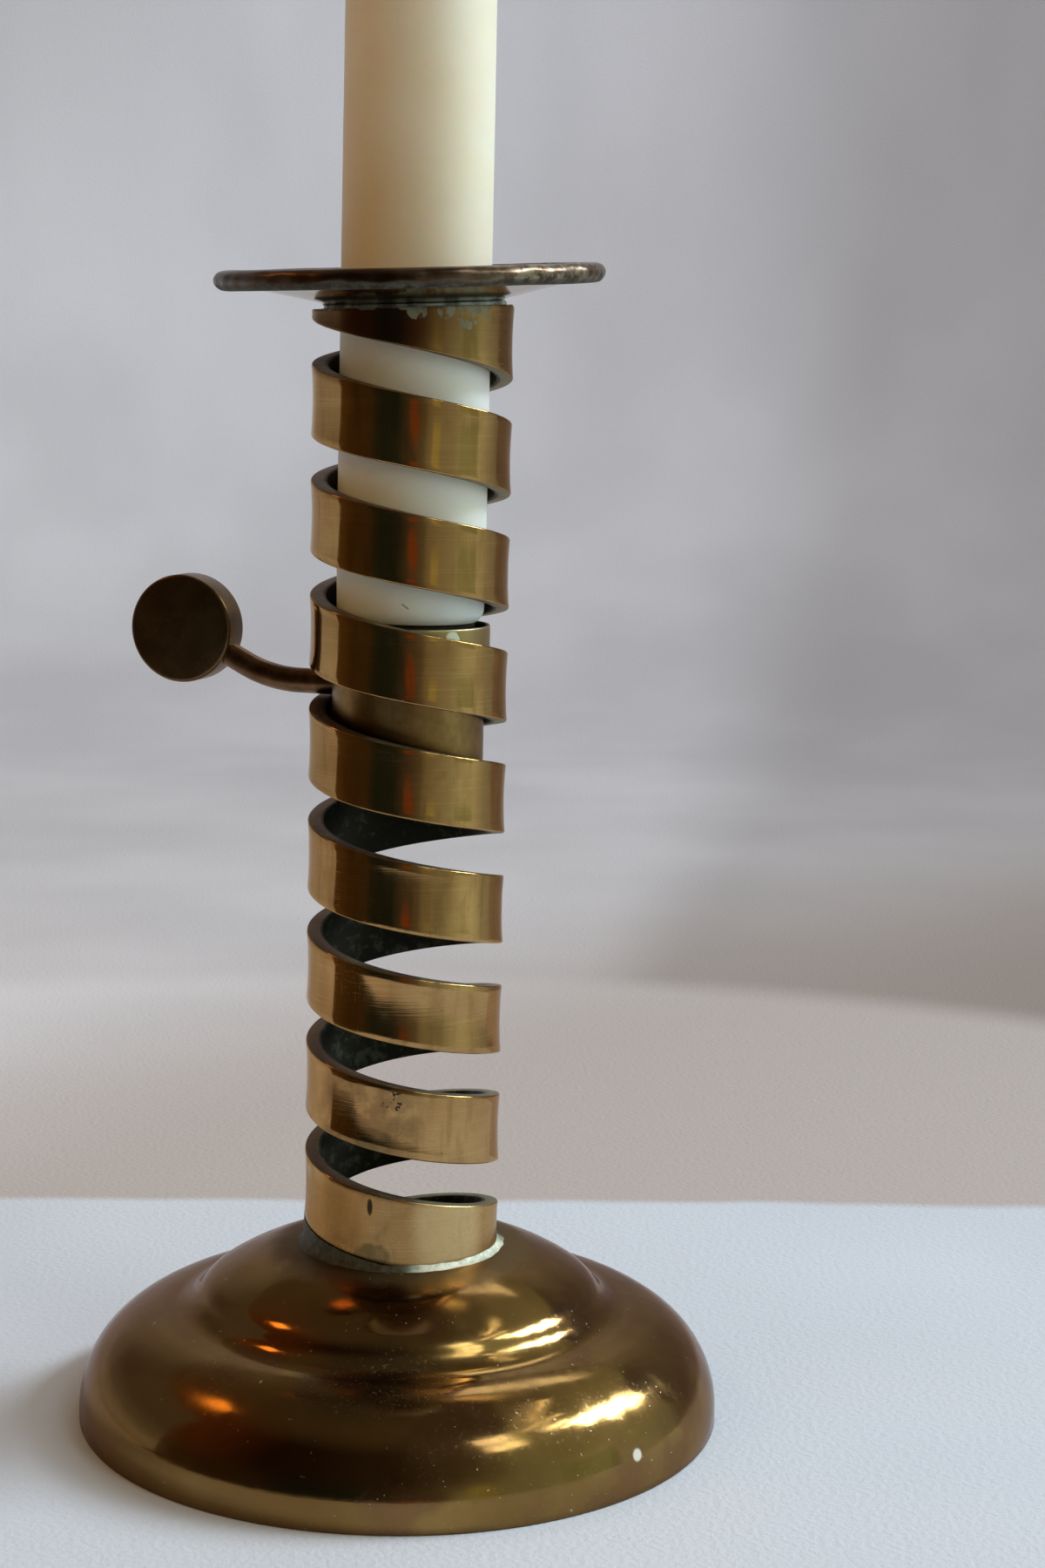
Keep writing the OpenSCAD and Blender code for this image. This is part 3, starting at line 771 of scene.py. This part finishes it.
def panBrass():
    material, s = finish("panBrass")
    place, x, y, z = s.places()
    normal = s.node("ShaderNodeTexCoord", output=1)
    facing = s.node("ShaderNodeSeparateXYZ", sockets={0: normal}).other(2)
    radius = (x * x + y * y) ** 0.5
    cloudy = s.grain(place, 9, 4.0, 0.6)
    fine = s.grain(place, 1.4, 4.0, 0.65)
    colour = s.blend(s.step(cloudy, 0.35, 0.65), (0.085, 0.05, 0.035, 1), (0.17, 0.12, 0.085, 1))
    # painted highlight: lighter patches over the right of the pan
    paintedHighlight = s.step(x + s.grain(place, 7, 2.0) * 14.0, 12, 28) * s.step(fine, 0.40, 0.6)
    colour = s.blend(paintedHighlight * 0.8, colour, (0.38, 0.33, 0.24, 1))
    # painted shade: the left of the pan darkened
    colour = s.blend(s.step(x, -10, -22) * 0.4, colour, (0.045, 0.028, 0.022, 1))
    under = s.step(facing, -0.75, -0.95) * s.step(radius, 26.9, 26.2)
    colour = s.blend(under, colour, s.blend(s.step(cloudy, 0.4, 0.7) * 0.4, (0.50, 0.43, 0.33, 1),
                                            (0.34, 0.26, 0.16, 1)))
    seam = s.step(facing, -0.25, -0.7) * s.step(radius, 25.2, 26.2)  # painted shade and grime under the rolled rim: its downward faces darker, rougher and crusted
    crust = seam * s.step(fine, 0.46, 0.60)
    crust = crust.calc("MAXIMUM", crust, s.step(fine, 0.66, 0.76) * (1 - under) * 0.5)
    colour = s.blend(seam * 0.8, colour, (0.035, 0.03, 0.02, 1))
    colour = s.blend(crust * 0.6, colour, (0.11, 0.125, 0.095, 1))
    rough = 0.27 + cloudy * 0.12 + crust * 0.3 - under * 0.21 + seam * 0.2
    surface = s.bump(cloudy, 0.2, 0.2)
    surface = s.bump(fine * (1 - under), 0.02, 0.4, surface)
    metal = 1.0 - crust * 0.6 - seam * 0.3
    close(s, {"Base Color": colour, "Metallic": metal, "Roughness": rough, "Normal": surface})
    return material


def makePan():
    rise = math.tan(math.radians(panSet["slope"]))
    mid = panSet["radius"] - panSet["rim"]
    under = panSet["up"] + (mid - panSet["neck"]) * rise
    centre = under + 0.35
    inner = panSet["neck"] - panSet["neckWall"]
    outline = [(inner, panSet["up"] + panSet["wall"] - 0.6), (inner, 0.0), (inner, -panSet["neckDown"] + 0.15),
               (inner + 0.12, -panSet["neckDown"]), (panSet["neck"] - 0.12, -panSet["neckDown"]),
               (panSet["neck"], -panSet["neckDown"] + 0.15), (panSet["neck"], 0.0),
               (panSet["neck"], panSet["up"] - 0.35), (panSet["neck"] + 0.12, panSet["up"] - 0.08)]
    for k in range(1, 9):
        r = panSet["neck"] + 0.5 + (mid - 1.2 - panSet["neck"] - 0.5) * k / 8
        outline.append((r, panSet["up"] + (r - panSet["neck"]) * rise))
    for k in range(0, 25):  # round the rolled rim, from under its inner side over its top
        a = math.radians(-150 + 290 * k / 24)
        outline.append((mid + panSet["rim"] * math.cos(a), centre + panSet["rim"] * math.sin(a)))
    for k in range(8, -1, -1):
        r = panSet["neck"] + 0.3 + (mid - 1.5 - panSet["neck"] - 0.3) * k / 8
        outline.append((r, panSet["up"] + panSet["wall"] + (r - panSet["neck"]) * rise))
    points, faces = turned(outline, panSet["around"])
    bent = []
    for p in points:
        r = math.hypot(p[0], p[1])
        push = 1 + (wander(p, 7, 0.07) + wander(p, 2.5, 0.05)) * max(0, r - mid + 1) / 12
        over = max(0, (r - 16) / 13)
        bent.append((p[0] * push + panSet["aside"] * min(1, over), p[1] * push,
                     p[2] + wander((p[0], p[1], 9), 12, 0.10) * over))
    bent = onSlope(bent, coilSet["slope"], panSet["nod"], coilSet["top"])
    smoothMesh("dripDish", bent, faces, panBrass(), "stand", "drip_pan", 60)


makePan()
print("drip pan made")


# ---- candle cup, its floor, the arm and the thumb knob ----

cupSet = {
    "rim": 123.35,
    "height": 24.85,
    "radius": 11.5,
    "collar": 12.25,
    "collarHeight": 5.6,
    "wall": 0.6,
    "floorUp": 1.2,
    "floorThick": 1.5,
    "around": 160,
    "waxDrip": (6.4, -10.4),
}
armSet = {
    "thick": 3.9,
    "direction": 160.3,
    "straight": 17.5,
    "bend": 20.5,
    "rise": 27.5,
    "end": 2.1,
    "gap": 0.3,
    "drawn": 0.96,
    "flare": 1.02,
    "around": 28,
}
knobSet = {"radius": 8.3, "thick": 6.2, "faceEdge": 0.6, "backEdge": 0.9, "crown": 0.35}


def cupBrass():
    material, s = finish("cupBrass")
    place, x, y, z = s.places()
    cloudy = s.grain(place, 7, 4.0, 0.6)
    streaks = s.grain(place, 1.4, 3.0, 0.6, (1.0, 1.0, 0.12))
    colour = s.blend(s.step(cloudy, 0.35, 0.65), (0.22, 0.13, 0.045, 1), (0.34, 0.22, 0.085, 1))
    colour = s.blend(s.step(streaks, 0.5, 0.7) * 0.4, colour, (0.19, 0.125, 0.055, 1))
    worn = s.step(z + cloudy * 2.0, cupSet["rim"] - 5, cupSet["rim"] - 1)
    colour = s.blend(worn * 0.7, colour, (0.48, 0.37, 0.17, 1))
    rim = s.step(z, cupSet["rim"] - 0.5, cupSet["rim"] - 0.1)
    colour = s.blend(rim * 0.6, colour, (0.56, 0.52, 0.34, 1))
    drip = s.near(place, (*cupSet["waxDrip"], cupSet["rim"] - 1.6), 1.7)
    drip = s.step(drip + s.grain(place, 0.8, 3.0), 1.05, 1.15)
    colour = s.blend(drip, colour, (0.62, 0.66, 0.50, 1))
    close(s, {"Base Color": colour, "Metallic": 1.0 - drip, "Roughness": 0.26 + cloudy * 0.16,
              "Normal": s.bump(streaks, 0.02, 0.5)})
    return material


def armBrass():
    material, s = finish("armBrass")
    place = s.places()[0]
    cloudy = s.grain(place, 5, 4.0, 0.6)
    colour = s.blend(s.step(cloudy, 0.35, 0.7), (0.12, 0.06, 0.03, 1), (0.24, 0.135, 0.07, 1))
    close(s, {"Base Color": colour, "Metallic": 1.0, "Roughness": 0.26 + cloudy * 0.14,
              "Normal": s.bump(s.grain(place, 0.8, 3.0), 0.02, 0.5)})
    return material


def knobBrass():
    material, s = finish("knobBrass")
    place = s.places()[0]
    cloudy = s.grain(place, 4, 4.0, 0.6)
    fine = s.grain(place, 0.5, 3.0, 0.6)
    colour = s.blend(s.step(cloudy, 0.35, 0.7), (0.135, 0.08, 0.038, 1), (0.18, 0.108, 0.052, 1))
    colour = s.blend(s.step(fine, 0.6, 0.75) * 0.4, colour, (0.34, 0.23, 0.11, 1))
    close(s, {"Base Color": colour, "Metallic": 1.0, "Roughness": 0.30 + cloudy * 0.12,
              "Normal": s.bump(fine, 0.01, 0.5)})
    return material


def makeCup():
    low = cupSet["rim"] - cupSet["height"]
    under = cupSet["rim"] - cupSet["collarHeight"]
    wall = cupSet["wall"]
    outline = rounded([
        (cupSet["radius"] - wall, low, 0.15), (cupSet["radius"], low, 0.15), (cupSet["radius"], under, 0.2),
        (cupSet["collar"], under + 0.05, 0.3), (cupSet["collar"], cupSet["rim"], 0.28),
        (cupSet["collar"] - wall, cupSet["rim"], 0.25), (cupSet["collar"] - wall, under + 2.8, 0.3),
        (cupSet["radius"] - wall, under, 0.3)], 4)
    points, faces = turned(outline, cupSet["around"])
    smoothMesh("candleSocket", points, faces, cupBrass(), "cup", "candle_cup", 50)


def makeCupFloor():
    low = cupSet["rim"] - cupSet["height"] + cupSet["floorUp"]
    r = cupSet["radius"] - cupSet["wall"] - 0.3
    outline = [(0.01, low), (r - 0.2, low), (r, low + 0.2), (r, low + cupSet["floorThick"] - 0.2),
               (r - 0.2, low + cupSet["floorThick"]), (0.01, low + cupSet["floorThick"])]
    points, faces = turned(outline, 96)
    smoothMesh("socketFloor", points, faces, cupBrass(), "lift", "cup_floor", 50)


leadAngle = math.atan(coilSet["pitch"] / (2 * math.pi * coilBore))
armHeight = (stripLow(armSet["direction"] + 1080) - (coilSet["pitch"] - coilSet["height"])
             + (armSet["thick"] / 2 + armSet["gap"]) / math.cos(leadAngle))


def inArmPlane(p):  # from (out, across, up) in the arm's plane to the row frame
    a = math.radians(armSet["direction"])
    return (p[0] * math.cos(a) - p[1] * math.sin(a), p[0] * math.sin(a) + p[1] * math.cos(a), p[2] + armHeight)


def makeArm():
    rise = math.radians(armSet["rise"])
    start = cupSet["radius"] + 0.05
    line = [(start + (armSet["straight"] - start) * k / 6, 0.0, 0.0) for k in range(7)]
    for k in range(1, 13):
        a = rise * k / 12
        line.append((armSet["straight"] + armSet["bend"] * math.sin(a), armSet["bend"] * (1 - math.cos(a)), a))
    tip = line[-1]
    reach = armSet["end"] + 0.5
    line.append((tip[0] + reach * 0.5 * math.cos(rise), tip[1] + reach * 0.5 * math.sin(rise), rise))
    line.append((tip[0] + reach * math.cos(rise), tip[1] + reach * math.sin(rise), rise))
    rings = []
    for index, (out, up, a) in enumerate(line):
        thick = armSet["thick"] / 2 * (1 - (1 - armSet["drawn"]) * index / len(line))
        if index == len(line) - 1:
            thick *= armSet["flare"]
        ring = []
        for k in range(armSet["around"]):
            b = 2 * math.pi * k / armSet["around"]
            side, lift = thick * math.cos(b), thick * math.sin(b)
            ring.append(inArmPlane((out - lift * math.sin(a), side, up + lift * math.cos(a))))
        rings.append(ring)
    points, faces = swept(rings)
    smoothMesh("bentArm", points, faces, armBrass(), "cup", "arm", 50)


def makeKnob():
    r, t = knobSet["radius"], knobSet["thick"] / 2
    face, back = knobSet["faceEdge"], knobSet["backEdge"]
    profile = [(0.01, -t), (r * 0.5, -t), (r - back, -t)]
    for k in range(1, 7):
        a = math.radians(15 * k)
        profile.append((r - back + back * math.sin(a), -t + back - back * math.cos(a)))
    flatFace = t - knobSet["crown"]
    for k in range(0, 7):
        a = math.radians(15 * k)
        profile.append((r - face + face * math.cos(a), flatFace - face + face * math.sin(a)))
    for k in range(9, 0, -1):
        f = k / 10
        profile.append(((r - face) * f, t - knobSet["crown"] * f * f))
    profile.append((0.01, t))
    points, faces = turned(profile, 128)
    rise = math.radians(armSet["rise"])
    out = armSet["end"] + armSet["gap"] + r
    mid = (armSet["straight"] + armSet["bend"] * math.sin(rise) + out * math.cos(rise),
           armSet["bend"] * (1 - math.cos(rise)) + out * math.sin(rise))
    placed = [inArmPlane((mid[0] + p[0], p[2], mid[1] - p[1])) for p in points]
    smoothMesh("thumbKnob", placed, faces, knobBrass(), "cup", "knob", 40)


makeCup()
makeCupFloor()
makeArm()
makeKnob()
print("cup, arm and knob made")


# ---- candle and wick ----

candleSet = {
    "radius": 11.1,
    "seat": 124.2,
    "length": 190,
    "butt": 9.7,
    "shoulderUp": 0.1,
    "shoulder": 2.4,
    "thinner": 0.9,
    "lean": 0.0055,
    "easing": 0.0018,
    "aside": 0.15,
    "swell": 0.1,
    "tip": 14,
    "wick": 1.0,
    "wickIn": 3,
    "wickOut": 9,
    "around": 144,
    "scratch": (-0.6, 126.7),
}
shoulderHeight = cupSet["rim"] + candleSet["shoulderUp"]
candleTop = candleSet["seat"] + candleSet["length"]


def leaning(p):  # the candle stands a hair off upright, less so toward its tip
    up = p[2] - cupSet["rim"]
    off = candleSet["aside"] + (up - candleSet["easing"] * up * up) * candleSet["lean"]
    return (p[0] + off, p[1], p[2])


def waxFinish():
    material, s = finish("ivoryWax")
    place, x, y, z = s.places()
    cloudy = s.grain(place, 18, 3.0, 0.5)
    fine = s.grain(place, 1.2, 3.0, 0.6)
    colour = s.blend(s.step(cloudy, 0.3, 0.7), (0.86, 0.82, 0.67, 1), (0.90, 0.88, 0.78, 1))
    # painted light: the wax below the drip pan, inside the column, is lighter
    colour = s.blend(s.step(z, 172, 160) * 0.6, colour, (0.95, 0.95, 0.88, 1))
    right, up = x - candleSet["scratch"][0], z - candleSet["scratch"][1]
    along, across = right * 0.8 - up * 0.6, right * 0.6 + up * 0.8
    scratch = s.step(across.calc("ABSOLUTE", across), 0.16, 0.07)
    scratch = scratch * s.step(along.calc("ABSOLUTE", along), 0.75, 0.45)
    scratch = scratch * s.step(y, -9, -10)
    colour = s.blend(scratch * 0.8, colour, (0.30, 0.25, 0.18, 1))
    radius = (x * x + y * y) ** 0.5
    butt = s.step(radius, 10.2, 9.9) * s.step(z, shoulderHeight + 4, shoulderHeight + 2)
    seam = butt * s.step(z, shoulderHeight - 1.6, shoulderHeight - 0.4)  # painted shade: a dark ring where the candle meets the cup's rim
    colour = s.blend(butt * (0.35 + cloudy * 0.4), colour, (0.50, 0.40, 0.24, 1))
    colour = s.blend(seam, colour, (0.05, 0.04, 0.03, 1))
    close(s, {"Base Color": colour, "Roughness": 0.38 + fine * 0.12, "Subsurface Weight": 0.85,
              "Subsurface Radius": (1.0, 0.62, 0.33), "Subsurface Scale": 0.009, "IOR": 1.44,
              "Normal": s.bump(cloudy, 0.3, 0.2)})
    return material


def makeCandle():
    r, butt, shoulder = candleSet["radius"], candleSet["butt"], candleSet["shoulder"]
    low = cupSet["rim"] - cupSet["height"] + cupSet["floorUp"] + cupSet["floorThick"] + 0.3
    outline = [(0.01, low), (butt - 0.6, low), (butt - 0.15, low + 0.15), (butt, low + 0.6),
               (butt, shoulderHeight - 0.2), (butt + 0.1, shoulderHeight)]
    for k in range(2, 13):
        a = math.radians(90 * k / 12)
        outline.append((r - shoulder + shoulder * math.sin(a), shoulderHeight + shoulder * (1 - math.cos(a))))
    body, straight = r + candleSet["swell"], shoulderHeight + shoulder
    rise = candleTop - candleSet["tip"] - straight
    for k in range(1, 25):
        t = k / 24
        outline.append((body - candleSet["thinner"] * t ** 3, straight + rise * t))
    wick, thin = candleSet["wick"], body - candleSet["thinner"]
    for k in range(1, 15):
        t = k / 15
        outline.append((wick + 1.6 + (thin - wick - 1.6) * math.cos(t * math.pi / 2) ** 0.8,
                        candleTop - candleSet["tip"] + (candleSet["tip"] - 0.4) * t ** 0.9))
    outline += [(wick + 1.3, candleTop - 0.1), (wick + 0.5, candleTop - 0.25),
                (wick + 0.1, candleTop - 1.2), (0.01, candleTop - 1.3)]
    points, faces = turned(outline, candleSet["around"])
    points = [(p[0] * (1 + wander(p, 40, 0.002)), p[1] * (1 + wander(p, 40, 0.002)), p[2]) for p in points]
    points = [leaning(p) for p in points]
    smoothMesh("taperCandle", points, faces, waxFinish(), "candle", "candle", 60)


def wickFinish():
    material, s = finish("cottonWick")
    place = s.places()[0]
    weave = s.grain(place, 0.35, 3.0, 0.6)
    colour = s.blend(weave, (0.72, 0.69, 0.60, 1), (0.90, 0.88, 0.80, 1))
    close(s, {"Base Color": colour, "Roughness": 0.85, "Normal": s.bump(weave, 0.08, 0.8)})
    return material


def makeWick():
    rings = []
    low = candleTop - candleSet["wickIn"]
    tall = candleSet["wickIn"] + candleSet["wickOut"]
    for i in range(61):
        t = i / 60
        thick = candleSet["wick"] * (0.92 if t < 0.97 else 0.7)
        ring = []
        for k in range(24):  # three plaited strands
            b = 2 * math.pi * k / 24
            r = thick * (0.8 + 0.2 * abs(math.cos(1.5 * b + 9 * math.pi * t)))
            ring.append(leaning((r * math.cos(b), r * math.sin(b), low + tall * t)))
        rings.append(ring)
    points, faces = swept(rings)
    smoothMesh("plaitedWick", points, faces, wickFinish(), "candle", "wick", 60)


makeCandle()
makeWick()
print("candle made")
